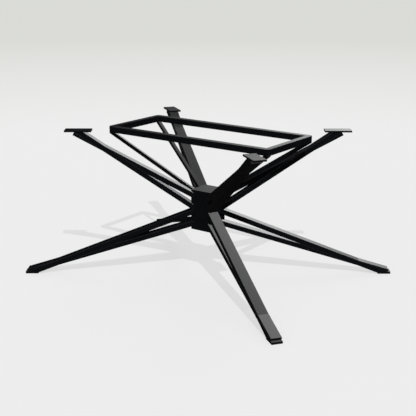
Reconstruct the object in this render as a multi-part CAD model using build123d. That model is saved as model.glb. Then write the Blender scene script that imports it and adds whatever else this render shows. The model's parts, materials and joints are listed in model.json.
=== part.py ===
from build123d import *
import math
import os

# A welded steel table base: a square hub with four legs, four arms and a rectangular ring on struts.
# Millimetres. The floor is z = 0, the hub's axis is the Z axis and the long side runs along X.

# Overall
TOP_HEIGHT = 730.0  # floor to the top of the plates
LIMB_ANGLE = 35.8  # plan angle between the X axis and each leg and arm, in degrees
FOOT_REACH = 916.0  # hub axis to the outer edge of each foot
PLATE_REACH = 627.5  # hub axis to the middle of each plate

# Hub: a length of square tube with a plate on each end
HUB_SIDE = 120.0
HUB_HEIGHT = 202.0
HUB_TOP = 435.0  # floor to the top of the hub
HUB_WALL = 4.0
HUB_CORNER = 2.0
HUB_CAP = 4.0
HUB_CAP_BEVEL = 0.5

# Bars: flat rectangular tube, two to each leg and two to each arm
BAR_WIDTH = 50.0
BAR_DEPTH = 25.0
BAR_WALL = 2.0
BAR_CORNER = 1.5
LIMB_HEIGHT = 335.0  # floor to where the legs' and the arms' bars part, at the hub
BRACE_SPREAD = 145.0  # between the leg braces and the arm braces, where their axes leave the hub
END_CAP = 2.0  # plate on the open end of a brace

# Feet
TOE_HEIGHT = 6.2  # height of the leg bar's upper face at the outer edge of the foot
TOE_STEP = 10.4  # from the outer edge of the foot back to the end of the leg brace
TOE_CREST = 23.6  # height of the upper corner at the end of the leg brace
GLIDE_LENGTH = 63.5  # block under each foot, as wide as the bars and let into the leg bar's end
GLIDE_HEIGHT = 10.2

# Plates: lengths of flat bar
PLATE_LENGTH = 130.0
PLATE_WIDTH = 60.0
PLATE_THICK = 8.0
PLATE_BEVEL = 0.5
SEAT_BACK = 26.5  # from the middle of the plate in to where the arm bar's upper face meets it
TIP_REACH = 25.0  # from the middle of the plate out to the end of the arm brace
TIP_DROP = 15.0  # from the plate down to the lower corner at the end of the arm brace

# Ring: four rails of square tube, mitred, with the outer wall turned round each corner
RING_LENGTH = 942.0
RING_WIDTH = 395.0
RING_CORNER = 20.0  # outer radius of the ring's corners, in plan
RING_DROP = 5.0  # from the top of the plates down to the top of the ring
RAIL = 30.0
RAIL_WALL = 2.0
RAIL_BEVEL = 1.0

# Struts: thin square tube from the hub to the corners of the ring
STRUT = 18.0
STRUT_WALL = 1.5
STRUT_CORNER = 1.5
STRUT_DROP = 17.3  # from the top of the hub down to the strut's axis at the hub's side
STRUT_OUT = 2.0  # from where the rails' axes cross out to the strut's axis at the ring's underside

# Which way each limb goes along X and Y
QUADRANTS = {"right_back": (1, 1), "left_back": (-1, 1), "left_front": (-1, -1), "right_front": (1, -1)}

# Faces of a bar that can be aimed at a point
UPPER = 1
LOWER = -1

HUB_EDGE = HUB_SIDE / 2 / math.cos(math.radians(LIMB_ANGLE))  # hub axis to the hub's side, along a limb
PLATE_UNDERSIDE = TOP_HEIGHT - PLATE_THICK
RING_TOP = TOP_HEIGHT - RING_DROP
RING_UNDERSIDE = RING_TOP - RAIL
CROSSING_X = (RING_LENGTH - RAIL) / 2  # where the rails' axes cross
CROSSING_Y = (RING_WIDTH - RAIL) / 2
STRUT_ANGLE = math.degrees(math.atan2(CROSSING_Y, CROSSING_X))
FAR = FOOT_REACH + TOP_HEIGHT  # longer than any limb


def turned(part, angle, quadrant):
    """Turns a part that lies along +X to a plan angle from the X axis, in one of the four quadrants."""
    along_x, along_y = quadrant
    angle = math.radians(angle)
    return Rot(0, 0, math.degrees(math.atan2(along_y * math.sin(angle), along_x * math.cos(angle)))) * part


def square_tube(side, wall, corner, height):
    """Upright square tube with rounded outer corners, standing on z = 0."""
    core = side - 2 * wall
    return extrude(RectangleRounded(side, side, corner) - Rectangle(core, core), height)


class Bar:
    """A bar in the XZ plane that leaves the hub at one height, with one face aimed at a target (x, z)."""

    def __init__(self, hub_height, target, face):
        out = target[0] - HUB_EDGE
        rise = target[1] - hub_height
        distance = math.hypot(out, rise)
        slope = math.atan2(rise, out) - face * math.asin(BAR_DEPTH / 2 / distance)
        self.across = Plane((HUB_EDGE, 0, hub_height), (0, 1, 0), (math.cos(slope), 0, math.sin(slope)))
        self.back = HUB_EDGE / math.cos(slope)  # from the hub's side back to the hub's axis
        self.square_end = math.sqrt(distance**2 - (BAR_DEPTH / 2) ** 2)  # square cut through the target

    def run(self, section, start, end):
        """Extrudes a section along the bar, between two distances from the hub's side."""
        return extrude(self.across * Pos(0, 0, start) * section, end - start)

    def solid(self, start, end):
        return self.run(RectangleRounded(BAR_WIDTH, BAR_DEPTH, BAR_CORNER), start, end)

    def tube(self, end):
        core = Rectangle(BAR_WIDTH - 2 * BAR_WALL, BAR_DEPTH - 2 * BAR_WALL)
        return self.solid(-self.back, end) - self.run(core, -self.back, end)

    def saw(self):
        """A wide slab as deep as the bar, to cut away all of another bar where this one passes through."""
        return self.run(Rectangle(2 * BAR_WIDTH, BAR_DEPTH), -self.back, FAR)


def limb_space(reach, low, high):
    """Box round a limb that lies along +X, from the hub's axis to a reach and between two heights."""
    return Pos(reach / 2, 0, (low + high) / 2) * Box(reach, 2 * BAR_WIDTH, high - low)


def limb_pieces(bar, brace, space):
    """The bar runs whole, and cuts the brace into an inner length and an outer wedge with an end cap."""
    wedge_end = brace.square_end - END_CAP
    inner, wedge = ((brace.tube(wedge_end) - bar.saw()) & space).solids().sort_by(Axis.X)
    cap_plate = brace.run(Rectangle(BAR_WIDTH, BAR_DEPTH), wedge_end, brace.square_end)
    cap = (cap_plate - bar.saw()) & space
    return bar.tube(FAR) & space, inner, wedge, cap


def leg():
    """Leg along +X: its bar, its brace, the wedge and cap on its toe, and the glide in its notched end."""
    bar = Bar(LIMB_HEIGHT - BAR_DEPTH / 2, (FOOT_REACH, TOE_HEIGHT), UPPER)
    brace = Bar(LIMB_HEIGHT - BRACE_SPREAD / 2, (FOOT_REACH - TOE_STEP, TOE_CREST), UPPER)
    foot = Pos(FOOT_REACH - GLIDE_LENGTH / 2, 0, GLIDE_HEIGHT / 2)
    notch = foot * Box(GLIDE_LENGTH, 2 * BAR_WIDTH, GLIDE_HEIGHT)
    glide = foot * Box(GLIDE_LENGTH, BAR_WIDTH, GLIDE_HEIGHT)
    pieces = (*limb_pieces(bar, brace, limb_space(FOOT_REACH, 0, LIMB_HEIGHT) - notch), glide)
    return dict(zip(("leg_bar", "leg_brace", "toe_wedge", "toe_cap", "glide"), pieces))


def arm_brace():
    tip = (PLATE_REACH + TIP_REACH, PLATE_UNDERSIDE - TIP_DROP)
    return Bar(LIMB_HEIGHT + BRACE_SPREAD / 2, tip, LOWER)


def arm():
    """Arm along +X: its bar, its brace, the wedge and cap on its tip, and the plate on top of it."""
    bar = Bar(LIMB_HEIGHT + BAR_DEPTH / 2, (PLATE_REACH - SEAT_BACK, PLATE_UNDERSIDE), UPPER)
    pieces = limb_pieces(bar, arm_brace(), limb_space(FAR, LIMB_HEIGHT, PLATE_UNDERSIDE))
    plate = extrude(Rectangle(PLATE_LENGTH, PLATE_WIDTH), PLATE_THICK)
    plate = chamfer(plate.faces().sort_by(Axis.Z)[-1].edges(), PLATE_BEVEL)
    plate = Pos(PLATE_REACH, 0, PLATE_UNDERSIDE) * plate
    return dict(zip(("arm_bar", "arm_brace", "tip_wedge", "tip_cap", "plate"), (*pieces, plate)))


def hub():
    """The hub's tube and its two end plates, in place."""
    tube_top = HUB_TOP - HUB_CAP
    tube_bottom = HUB_TOP - HUB_HEIGHT + HUB_CAP
    tube = square_tube(HUB_SIDE, HUB_WALL, HUB_CORNER, tube_top - tube_bottom)
    cap = extrude(RectangleRounded(HUB_SIDE, HUB_SIDE, HUB_CORNER), HUB_CAP)
    cap = chamfer(cap.faces().sort_by(Axis.Z)[-1].edges(), HUB_CAP_BEVEL)
    return {
        "hub_tube": Pos(0, 0, tube_bottom) * tube,
        "hub_top_cap": Pos(0, 0, tube_top) * cap,
        "hub_bottom_cap": Pos(0, 0, tube_bottom) * Rot(180, 0, 0) * cap,
    }


def ring_plan(inset):
    """Rounded rectangle that lies inside the ring's outer side by an inset."""
    return RectangleRounded(RING_LENGTH - 2 * inset, RING_WIDTH - 2 * inset, RING_CORNER - inset)


def rail_space(length, width, turn):
    """Space of the rail along one side of the ring, out to its mitres, turned about the hub's axis."""
    outer = length / 2
    inner = outer - RAIL
    side = -width / 2
    mitred = Polygon((-outer, side), (outer, side), (inner, side + RAIL), (-inner, side + RAIL), align=None)
    return Rot(0, 0, turn) * extrude(mitred, TOP_HEIGHT)


def ring():
    """The ring's tube, cut along its mitres into four rails."""
    opening = Rectangle(RING_LENGTH - 2 * RAIL, RING_WIDTH - 2 * RAIL)
    tube = extrude(ring_plan(0) - opening, RAIL)
    tube = chamfer(tube.faces().filter_by(Axis.Z).edges(), RAIL_BEVEL)
    inner_wall = offset(opening, RAIL_WALL, kind=Kind.INTERSECTION)
    core = extrude(ring_plan(RAIL_WALL) - inner_wall, RAIL - 2 * RAIL_WALL)
    tube = Pos(0, 0, RING_UNDERSIDE) * (tube - Pos(0, 0, RAIL_WALL) * core)
    return {
        "front_rail": tube & rail_space(RING_LENGTH, RING_WIDTH, 0),
        "right_rail": tube & rail_space(RING_WIDTH, RING_LENGTH, 90),
        "back_rail": tube & rail_space(RING_LENGTH, RING_WIDTH, 180),
        "left_rail": tube & rail_space(RING_WIDTH, RING_LENGTH, 270),
    }


def strut():
    """A strut's outside and its hollow along +X, from the hub's axis to beyond the ring."""
    hub_side = HUB_SIDE / 2 / math.cos(math.radians(STRUT_ANGLE))
    hub_height = HUB_TOP - STRUT_DROP
    ring_side = math.hypot(CROSSING_X, CROSSING_Y) + STRUT_OUT
    slope = (RING_UNDERSIDE - hub_height) / (ring_side - hub_side)
    across = Plane((0, 0, hub_height - slope * hub_side), (0, 1, 0), (1, 0, slope))
    core = STRUT - 2 * STRUT_WALL
    outside = extrude(RectangleRounded(STRUT, STRUT, STRUT_CORNER), FAR)
    return across * outside, across * extrude(Rectangle(core, core), FAR)


nodes = hub()
nodes.update(ring())

# The limbs are coped to the hub's rounded sides, and each strut also to the arm brace that it lands on.
# A strut ends at the ring's underside, welded shut where it comes out flush with the ring's outer side.
hub_block = extrude(RectangleRounded(HUB_SIDE, HUB_SIDE, HUB_CORNER), HUB_HEIGHT)
hub_block = Pos(0, 0, HUB_TOP - HUB_HEIGHT) * hub_block
under_ring = extrude(ring_plan(0), RING_UNDERSIDE)
inside_ring = extrude(ring_plan(STRUT_WALL), RING_UNDERSIDE)
brace = arm_brace()
brace_block = brace.solid(-brace.back, brace.square_end)
limb = {**leg(), **arm()}
for side, quadrant in QUADRANTS.items():
    for name, piece in limb.items():
        nodes[f"{side}_{name}"] = turned(piece, LIMB_ANGLE, quadrant) - hub_block
    outside, hollow = (turned(piece, STRUT_ANGLE, quadrant) for piece in strut())
    tube = (outside & under_ring) - (hollow & inside_ring)
    nodes[f"{side}_strut"] = tube - hub_block - turned(brace_block, LIMB_ANGLE, quadrant)

os.makedirs("parts", exist_ok=True)
for name, piece in nodes.items():
    export_step(piece, f"parts/{name}.step")
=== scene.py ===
import json
import math

import bmesh
import bpy
from mathutils import Matrix, Vector
from mathutils.bvhtree import BVHTree


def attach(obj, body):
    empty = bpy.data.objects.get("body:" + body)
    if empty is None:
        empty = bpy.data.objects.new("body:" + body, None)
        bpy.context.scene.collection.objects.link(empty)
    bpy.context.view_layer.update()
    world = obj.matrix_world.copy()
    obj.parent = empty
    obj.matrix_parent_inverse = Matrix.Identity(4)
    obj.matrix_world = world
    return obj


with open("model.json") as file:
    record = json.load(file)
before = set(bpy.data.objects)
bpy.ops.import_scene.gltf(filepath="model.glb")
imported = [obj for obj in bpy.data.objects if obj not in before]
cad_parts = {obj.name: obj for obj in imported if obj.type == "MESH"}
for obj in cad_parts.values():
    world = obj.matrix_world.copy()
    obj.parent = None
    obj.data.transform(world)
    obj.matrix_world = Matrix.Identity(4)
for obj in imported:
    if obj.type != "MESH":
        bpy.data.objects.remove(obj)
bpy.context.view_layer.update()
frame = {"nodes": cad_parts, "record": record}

# Hub: a short upright length of square steel tube with a flat plate welded over each end.
# The base is welded up first and then coated in one go, so all its steel has one finish: black polyester
# powder, sprayed on dry and baked. It is satin, with the ripple of orange peel and a film of uneven depth.
MM = 0.001
COAT_THIN = "#0B0C0F"
COAT_THICK = "#101114"
COAT_PATCH = 70 * MM
COAT_PATCH_DETAIL = 3.0
COAT_GRIT = 4 * MM
COAT_GRIT_DETAIL = 2.0
COAT_SMOOTHEST = 0.17
COAT_ROUGHEST = 0.25
# Real orange peel is about 2 mm from crest to crest. It is drawn coarser here, so that it shows.
COAT_PEEL = 7 * MM
COAT_PEEL_DETAIL = 1.0
COAT_PEEL_DEPTH = 0.05 * MM
COAT_IOR = 1.5


def linear(colour):
    """Turns an sRGB hex colour into linear red, green, blue and alpha."""
    channels = [int(colour[i:i + 2], 16) / 255 for i in (1, 3, 5)]
    return [c / 12.92 if c <= 0.04045 else ((c + 0.055) / 1.055) ** 2.4 for c in channels] + [1.0]


def add(tree, kind, inputs, **settings):
    """Adds a shader node. An input is a value, or another node's output to link from."""
    node = tree.nodes.new(kind)
    for name, value in settings.items():
        setattr(node, name, value)
    for socket, value in inputs.items():
        if isinstance(value, bpy.types.NodeSocket):
            tree.links.new(value, node.inputs[socket])
        else:
            node.inputs[socket].default_value = value
    return node


def finish(name):
    """Makes an empty material and returns it with its node tree."""
    material = bpy.data.materials.new(name)
    material.use_nodes = True
    material.node_tree.nodes.clear()
    return material, material.node_tree


def dress(nodes, material):
    """Gives the nodes their finish, and keeps them out of each other's gloss."""
    for node in nodes:
        piece = frame["nodes"][node]
        piece.material_slots[0].material = material
        piece.visible_glossy = False


powder_coat, tree = finish("satin_black_powder_coat")
place = add(tree, "ShaderNodeTexCoord", {}).outputs["Object"]
patches = add(tree, "ShaderNodeTexNoise", {
    "Vector": place,
    "Scale": 1 / COAT_PATCH,
    "Detail": COAT_PATCH_DETAIL,
})
tint = add(tree, "ShaderNodeMix", {
    "Factor": patches.outputs["Fac"],
    "A": linear(COAT_THIN),
    "B": linear(COAT_THICK),
}, data_type="RGBA")
grit = add(tree, "ShaderNodeTexNoise", {
    "Vector": place,
    "Scale": 1 / COAT_GRIT,
    "Detail": COAT_GRIT_DETAIL,
})
sheen = add(tree, "ShaderNodeMapRange", {
    "Value": grit.outputs["Fac"],
    "To Min": COAT_SMOOTHEST,
    "To Max": COAT_ROUGHEST,
})
peel = add(tree, "ShaderNodeTexNoise", {
    "Vector": place,
    "Scale": 1 / COAT_PEEL,
    "Detail": COAT_PEEL_DETAIL,
})
ripple = add(tree, "ShaderNodeBump", {
    "Height": peel.outputs["Fac"],
    "Strength": 1.0,
    "Distance": COAT_PEEL_DEPTH,
})
shader = add(tree, "ShaderNodeBsdfPrincipled", {
    "Base Color": tint.outputs[2],
    "Roughness": sheen.outputs["Result"],
    "Normal": ripple.outputs["Normal"],
    "IOR": COAT_IOR,
})
add(tree, "ShaderNodeOutputMaterial", {"Surface": shader.outputs["BSDF"]})
dress(("hub_tube", "hub_top_cap", "hub_bottom_cap"), powder_coat)

# Legs: each is two lengths of flat rectangular steel tube, a bar down to the floor and a brace under it.
# The bar cuts through the brace, so the brace's end comes out on top as a wedge with a cap over its open end.
SIDES = ("right_back", "left_back", "left_front", "right_front")
LEG_PIECES = ("leg_bar", "leg_brace", "toe_wedge", "toe_cap")

for side in SIDES:
    dress([f"{side}_{piece}" for piece in LEG_PIECES], powder_coat)

# Glides: plain black nylon blocks, moulded, let into a notch under each leg's end and pressed home there.
# Moulded nylon is dull, with a fine even grain from the mould and no colour of its own but the dye.
NYLON_DARK = "#060606"
NYLON_PALE = "#0B0B0C"
# The grain of the mould is about half a millimetre. It is drawn coarser here, so that it shows.
NYLON_GRAIN = 2 * MM
NYLON_GRAIN_DETAIL = 2.0
NYLON_GRAIN_DEPTH = 0.05 * MM
NYLON_SMOOTHEST = 0.4
NYLON_ROUGHEST = 0.55
NYLON_IOR = 1.53
NYLON_SPECULAR = 0.25

nylon, tree = finish("moulded_black_nylon")
place = add(tree, "ShaderNodeTexCoord", {}).outputs["Object"]
grain = add(tree, "ShaderNodeTexNoise", {
    "Vector": place,
    "Scale": 1 / NYLON_GRAIN,
    "Detail": NYLON_GRAIN_DETAIL,
})
tint = add(tree, "ShaderNodeMix", {
    "Factor": grain.outputs["Fac"],
    "A": linear(NYLON_DARK),
    "B": linear(NYLON_PALE),
}, data_type="RGBA")
dull = add(tree, "ShaderNodeMapRange", {
    "Value": grain.outputs["Fac"],
    "To Min": NYLON_SMOOTHEST,
    "To Max": NYLON_ROUGHEST,
})
pitted = add(tree, "ShaderNodeBump", {
    "Height": grain.outputs["Fac"],
    "Strength": 1.0,
    "Distance": NYLON_GRAIN_DEPTH,
})
shader = add(tree, "ShaderNodeBsdfPrincipled", {
    "Base Color": tint.outputs[2],
    "Roughness": dull.outputs["Result"],
    "Normal": pitted.outputs["Normal"],
    "IOR": NYLON_IOR,
    "Specular IOR Level": NYLON_SPECULAR,
})
add(tree, "ShaderNodeOutputMaterial", {"Surface": shader.outputs["BSDF"]})
dress([f"{side}_glide" for side in SIDES], nylon)

# Arms: the same flat tube again, a bar up to the plate and a brace above it that comes out below as a wedge.
# The plate is a length of flat steel bar, welded across the top for a table top to rest on.
ARM_PIECES = ("arm_bar", "arm_brace", "tip_wedge", "tip_cap", "plate")

for side in SIDES:
    dress([f"{side}_{piece}" for piece in ARM_PIECES], powder_coat)

# Seams: fine beads of weld along both sides of each joint between a bar and its brace or wedge.
# Steel wire is run into the groove that the bar's rounded corner leaves there, and ground smooth before
# coating. The groove runs through the points of the brace or wedge that stand a little off the bar.
SEAM_RADIUS = 1.1 * MM
SEAM_FACETS = 12
SEAM_SHARP = math.radians(50)
GROOVE_NARROWEST = 0.3 * MM
GROOVE_WIDEST = 0.8 * MM

mounts = {mount["name"]: Vector(mount["pos_m"]) for mount in frame["record"]["mounts"]}
for side in SIDES:
    along = mounts[f"{side}_sole"].normalized()
    across = along.cross(Vector((0, 0, 1)))
    for limb, wedge in (("leg", "toe_wedge"), ("arm", "tip_wedge")):
        bar = frame["nodes"][f"{side}_{limb}_bar"].data
        corners = [vertex.co for vertex in bar.vertices]
        skin = BVHTree.FromPolygons(corners, [face.vertices for face in bar.polygons])
        shape = bmesh.new()
        for fitted in (f"{limb}_brace", wedge):
            groove = []
            for vertex in frame["nodes"][f"{side}_{fitted}"].data.vertices:
                touch, _, _, gap = skin.find_nearest(vertex.co)
                if GROOVE_NARROWEST < gap < GROOVE_WIDEST:
                    groove.append((vertex.co + touch) / 2)
            for flank in (-1, 1):
                run = sorted((spot for spot in groove if spot.dot(across) * flank > 0), key=along.dot)
                line = run[-1] - run[0]
                turn = line.to_track_quat("Z", "Y").to_matrix().to_4x4()
                bmesh.ops.create_cone(shape, cap_ends=True, segments=SEAM_FACETS, radius1=SEAM_RADIUS,
                                      radius2=SEAM_RADIUS, depth=line.length,
                                      matrix=Matrix.Translation(run[0] + line / 2) @ turn)
        mesh = bpy.data.meshes.new(f"{side}_{limb}_seams")
        shape.to_mesh(mesh)
        shape.free()
        mesh.shade_smooth()
        mesh.set_sharp_from_angle(angle=SEAM_SHARP)
        mesh.materials.append(powder_coat)
        seams = bpy.data.objects.new(f"{side}_{limb}_seams", mesh)
        seams.visible_glossy = False
        bpy.context.scene.collection.objects.link(seams)
        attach(seams, "root")

# Ring: four mitred rails of square steel tube, welded into a rectangle just under the table top.
# Four struts of thin square tube, coped to the hub and to the arm braces, hold up its corners.
dress(("front_rail", "right_rail", "back_rail", "left_rail"), powder_coat)
dress([f"{side}_strut" for side in SIDES], powder_coat)

# Floor: a seamless sheet of pale studio paper, a little darker far out.
# Most of its tone is its own, so that it stays even, and the lamps add the rest, so that it keeps the shadow.
# It is nearly black in gloss, because the coat's upright and lower faces show no paper.
PAPER_NEAR = "#EDEDED"
PAPER_FAR = "#DADBD6"
PAPER_UNLIT = "#000000"
PAPER_HALF = 40.0
# The tone falls off between these distances from the middle of the sheet, in metres.
FALL_START = 3.81
FALL_END = 12.3
LAMP_SHARE = 0.245
OWN_SHARE = 0.753
GLOSS_SHARE = 0.015

mesh = bpy.data.meshes.new("floor")
shape = bmesh.new()
bmesh.ops.create_grid(shape, x_segments=1, y_segments=1, size=PAPER_HALF)
shape.to_mesh(mesh)
shape.free()
floor = bpy.data.objects.new("floor", mesh)
bpy.context.scene.collection.objects.link(floor)

paper, tree = finish("studio_paper")
place = add(tree, "ShaderNodeTexCoord", {}).outputs["Object"]
away = add(tree, "ShaderNodeVectorMath", {0: place}, operation="LENGTH")
fall = add(tree, "ShaderNodeMapRange", {
    "Value": away.outputs["Value"],
    "From Min": FALL_START,
    "From Max": FALL_END,
})
tone = add(tree, "ShaderNodeMix", {
    "Factor": fall.outputs["Result"],
    "A": linear(PAPER_NEAR),
    "B": linear(PAPER_FAR),
}, data_type="RGBA")
lit = add(tree, "ShaderNodeMix", {
    "Factor": LAMP_SHARE,
    "A": linear(PAPER_UNLIT),
    "B": tone.outputs[2],
}, data_type="RGBA")
ray = add(tree, "ShaderNodeLightPath", {}).outputs
seen = add(tree, "ShaderNodeMath", {
    0: ray["Is Camera Ray"],
    1: ray["Is Transmission Ray"],
}, operation="MAXIMUM")
own = add(tree, "ShaderNodeMath", {0: seen.outputs[0], 1: OWN_SHARE}, operation="MULTIPLY")
glow = add(tree, "ShaderNodeEmission", {"Color": tone.outputs[2], "Strength": own.outputs[0]})
dull = add(tree, "ShaderNodeBsdfDiffuse", {"Color": lit.outputs[2]})
both = add(tree, "ShaderNodeAddShader", {0: glow.outputs[0], 1: dull.outputs[0]})
dim = add(tree, "ShaderNodeEmission", {"Color": tone.outputs[2], "Strength": GLOSS_SHARE})
surface = add(tree, "ShaderNodeMixShader", {
    0: ray["Is Glossy Ray"],
    1: both.outputs[0],
    2: dim.outputs[0],
})
add(tree, "ShaderNodeOutputMaterial", {"Surface": surface.outputs[0]})
mesh.materials.append(paper)

# Light: a key lamp, high on the right of the camera, throws one crisp shadow, and a weak fill comes from
# the front. A tall wall of diffusers stands behind and leans over, bright on the right and fading to the
# left, and shines in the upper faces of the tubes.
KEY_HEADING = math.radians(-42.0)
KEY_HEIGHT = math.radians(46.6)
KEY_SPREAD = math.radians(0.6)
KEY_ENERGY = 2.4
# Each sweep of light has the heading and lean, in degrees, of the way into it, the depths along that way at
# which it starts and is full, and how softly it starts.
WALL_LEFT = (35.0, 6.0, -0.28, 0.20, 4.0)
WALL_RIGHT = (190.0, 20.0, 0.0, 0.24, 1.0)
FILL = (-75.0, 0.0, -0.6, 0.2, 1.0)
WALL_LIGHT = 2.9
FILL_LIGHT = 0.6
# Heights are sines of the angle above level. There is no light below the foot, and only a share overhead.
FOOT_START = 0.10
FOOT_END = 0.20
OVER_START = 0.80
OVER_END = 0.89
OVER_SHARE = 0.2
LIGHT_HUE = "#FFFFFF"

key_data = bpy.data.lights.new("key_lamp", "SUN")
key_data.energy = KEY_ENERGY
key_data.angle = KEY_SPREAD
key = bpy.data.objects.new("key_lamp", key_data)
key.rotation_euler = (math.radians(90) - KEY_HEIGHT, 0, KEY_HEADING + math.radians(90))
bpy.context.scene.collection.objects.link(key)

studio = bpy.data.worlds.new("studio")
studio.use_nodes = True
tree = studio.node_tree
tree.nodes.clear()
way = add(tree, "ShaderNodeTexCoord", {}).outputs["Generated"]
sweeps = []
for heading, lean, start, end, softness in (WALL_LEFT, WALL_RIGHT, FILL):
    turn = math.radians(heading)
    rise = math.radians(lean)
    inward = (math.cos(turn) * math.cos(rise), math.sin(turn) * math.cos(rise), math.sin(rise))
    depth = add(tree, "ShaderNodeVectorMath", {0: way, 1: inward}, operation="DOT_PRODUCT")
    ramp = add(tree, "ShaderNodeMapRange", {
        "Value": depth.outputs["Value"],
        "From Min": start,
        "From Max": end,
    })
    sweep = add(tree, "ShaderNodeMath", {0: ramp.outputs["Result"], 1: softness}, operation="POWER")
    sweeps.append(sweep.outputs[0])
wall_left, wall_right, fill = sweeps
height = add(tree, "ShaderNodeSeparateXYZ", {"Vector": way}).outputs["Z"]
foot = add(tree, "ShaderNodeMapRange", {
    "Value": height,
    "From Min": FOOT_START,
    "From Max": FOOT_END,
})
over = add(tree, "ShaderNodeMapRange", {
    "Value": height,
    "From Min": OVER_START,
    "From Max": OVER_END,
    "To Min": 1.0,
    "To Max": OVER_SHARE,
})
wall = add(tree, "ShaderNodeMath", {0: wall_left, 1: wall_right}, operation="MULTIPLY")
wall = add(tree, "ShaderNodeMath", {0: wall.outputs[0], 1: WALL_LIGHT}, operation="MULTIPLY")
light = add(tree, "ShaderNodeMath", {0: fill, 1: FILL_LIGHT, 2: wall.outputs[0]}, operation="MULTIPLY_ADD")
light = add(tree, "ShaderNodeMath", {0: light.outputs[0], 1: foot.outputs["Result"]}, operation="MULTIPLY")
light = add(tree, "ShaderNodeMath", {0: light.outputs[0], 1: over.outputs["Result"]}, operation="MULTIPLY")
ray = add(tree, "ShaderNodeLightPath", {}).outputs
seen = add(tree, "ShaderNodeMath", {
    0: ray["Is Camera Ray"],
    1: ray["Is Transmission Ray"],
}, operation="MAXIMUM")
strength = add(tree, "ShaderNodeMix", {"Factor": seen.outputs[0], "A": light.outputs[0], "B": 1.0})
hue = add(tree, "ShaderNodeMix", {
    "Factor": seen.outputs[0],
    "A": linear(LIGHT_HUE),
    "B": linear(PAPER_FAR),
}, data_type="RGBA")
sky = add(tree, "ShaderNodeBackground", {"Color": hue.outputs[2], "Strength": strength.outputs[0]})
add(tree, "ShaderNodeOutputWorld", {"Surface": sky.outputs[0]})
bpy.context.scene.world = studio
bpy.context.scene.view_settings.view_transform = "Standard"

# Camera: the photograph's view through a long lens, from the right of the front and a little above.
# The heading is turned from the X axis and the dip is below level. The lens and sensor are in millimetres.
VIEW_PLACE = (2.5294, -3.4819, 1.5708)
VIEW_HEADING = math.radians(125.9944)
VIEW_DIP = math.radians(16.0108)
VIEW_LENS = 78.26
VIEW_SENSOR = 36.0

camera_data = bpy.data.cameras.new("camera")
camera_data.sensor_width = VIEW_SENSOR
camera_data.lens = VIEW_LENS
camera = bpy.data.objects.new("camera", camera_data)
camera.location = VIEW_PLACE
camera.rotation_euler = (math.radians(90) - VIEW_DIP, 0, VIEW_HEADING - math.radians(90))
bpy.context.scene.collection.objects.link(camera)
bpy.context.scene.camera = camera
